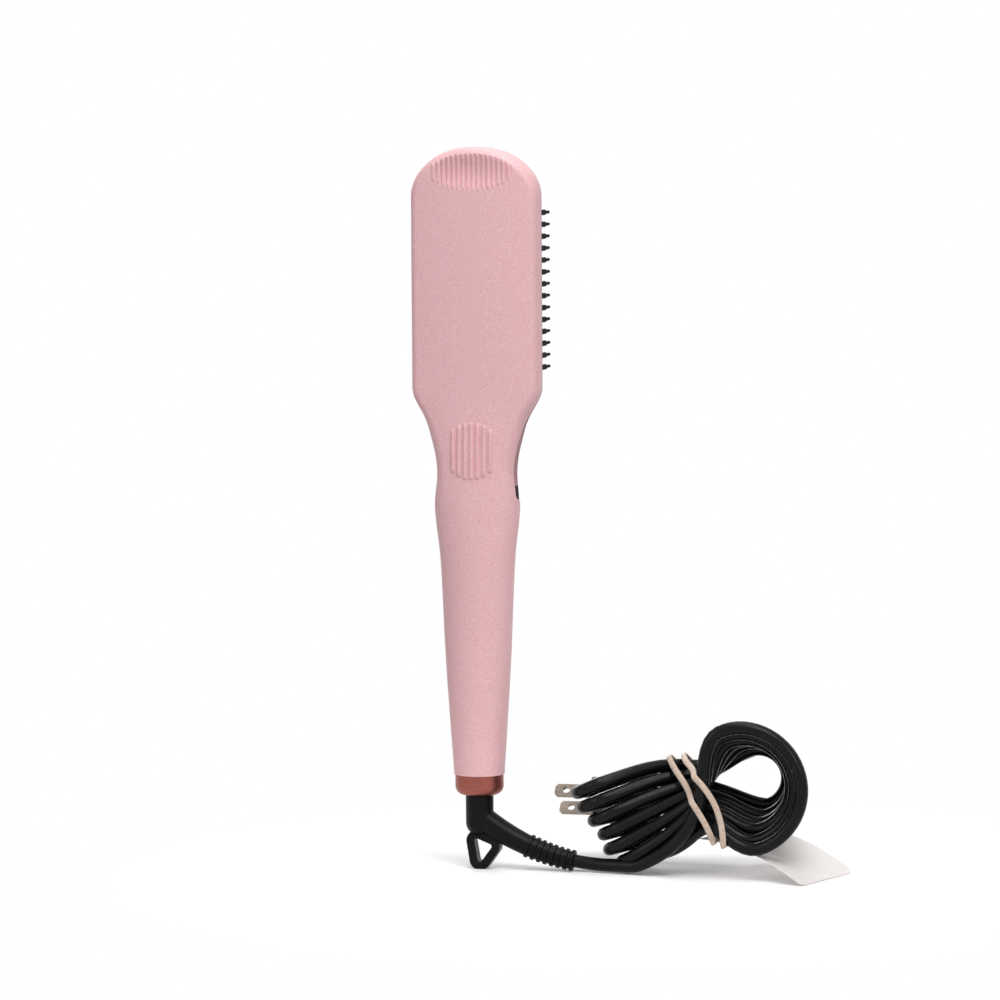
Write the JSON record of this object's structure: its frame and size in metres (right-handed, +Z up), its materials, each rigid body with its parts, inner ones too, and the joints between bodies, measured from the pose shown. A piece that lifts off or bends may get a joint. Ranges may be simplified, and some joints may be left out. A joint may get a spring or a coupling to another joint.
{
  "type": "hair straightening brush",
  "caption": "Heated hair straightening brush with a pink casing, bristles, buttons and a swivel mains cord in a hank",
  "frame": {"origin": "on the floor at the flat foot under the hanging loop, on the swivel axis", "axes": "X runs across the head, Y points along the bristles, Z runs up the handle to the tip"},
  "size_m": [0.1923, 0.0646, 0.3186],
  "materials": {
    "casing_plastic": "fine matte grain",
    "panel_plastic": "gloss black",
    "button_plastic": "satin black",
    "window_plastic": "clear, smoked",
    "plate_metal": "dark ceramic coat",
    "bristle_nylon": "satin black",
    "heater_aluminium": "plain",
    "insulation_board": "plain",
    "steel": "plain",
    "sensor_glass": "clear amber",
    "circuit_board": "solder resist",
    "component_plastic": "plain black",
    "display_glass": "dark",
    "ring_metal": "satin rose gold",
    "bearing_plastic": "plain",
    "spindle_plastic": "satin black",
    "contact_brass": "plain",
    "wire_sleeve": "glass-fibre sleeve",
    "boot_rubber": "satin black",
    "cord_vinyl": "satin black",
    "band_rubber": "pale tan",
    "blade_metal": "nickel plated",
    "tag_paper": "coated paper"
  },
  "bodies": {
    "brush": {"rear_casing": "casing_plastic", "front_casing": "casing_plastic", "handle_front_cover": "casing_plastic", "control_panel": "panel_plastic", "display_window": "window_plastic", "heated_plate": "plate_metal", "heating_pins": "plate_metal", "bristle_tips": "bristle_nylon", "edge_bristles": "bristle_nylon", "heater_elements": "heater_aluminium", "thermal_fuse": "heater_aluminium", "insulation_sheet": "insulation_board", "heater_clamp": "steel", "clamp_screws": "steel", "casing_screws": "steel", "thermistor": "sensor_glass", "control_board": "circuit_board", "power_board": "circuit_board", "tact_switches": "component_plastic", "power_components": "component_plastic", "board_connector": "component_plastic", "display_module": "display_glass", "end_ring": "ring_metal", "swivel_bush": "bearing_plastic", "contact_springs": "contact_brass", "heater_leads": "wire_sleeve", "mains_leads": "wire_sleeve", "sensor_lead": "wire_sleeve"},
    "cord_end": {"swivel_spindle": "spindle_plastic", "slip_rings": "contact_brass", "retaining_clip": "steel", "cord_boot": "boot_rubber", "cord_lead": "cord_vinyl", "cord_hank": "cord_vinyl", "cord_tail": "cord_vinyl", "plug_body": "spindle_plastic", "plug_blades": "blade_metal", "rubber_bands": "band_rubber", "cord_tag": "tag_paper"},
    "power_button_body": {"power_button": "button_plastic"},
    "temp_down_button_body": {"temp_down_button": "button_plastic"},
    "temp_up_button_body": {"temp_up_button": "button_plastic"}
  },
  "joints": [
    {"name": "cord_swivel", "type": "hinge", "parent": "brush", "child": "cord_end", "pos_m": [0, 0, 0.04], "axis": [0, 0, 1], "continuous": true},
    {"name": "power_button_press", "type": "slide", "parent": "brush", "child": "power_button_body", "axis": [0, -1, 0], "range_m": [0, 0.0006], "stiffness_N_per_m": 1500},
    {"name": "temp_down_button_press", "type": "slide", "parent": "brush", "child": "temp_down_button_body", "axis": [0, -1, 0], "range_m": [0, 0.0006], "stiffness_N_per_m": 1500},
    {"name": "temp_up_button_press", "type": "slide", "parent": "brush", "child": "temp_up_button_body", "axis": [0, -1, 0], "range_m": [0, 0.0006], "stiffness_N_per_m": 1500}
  ]
}
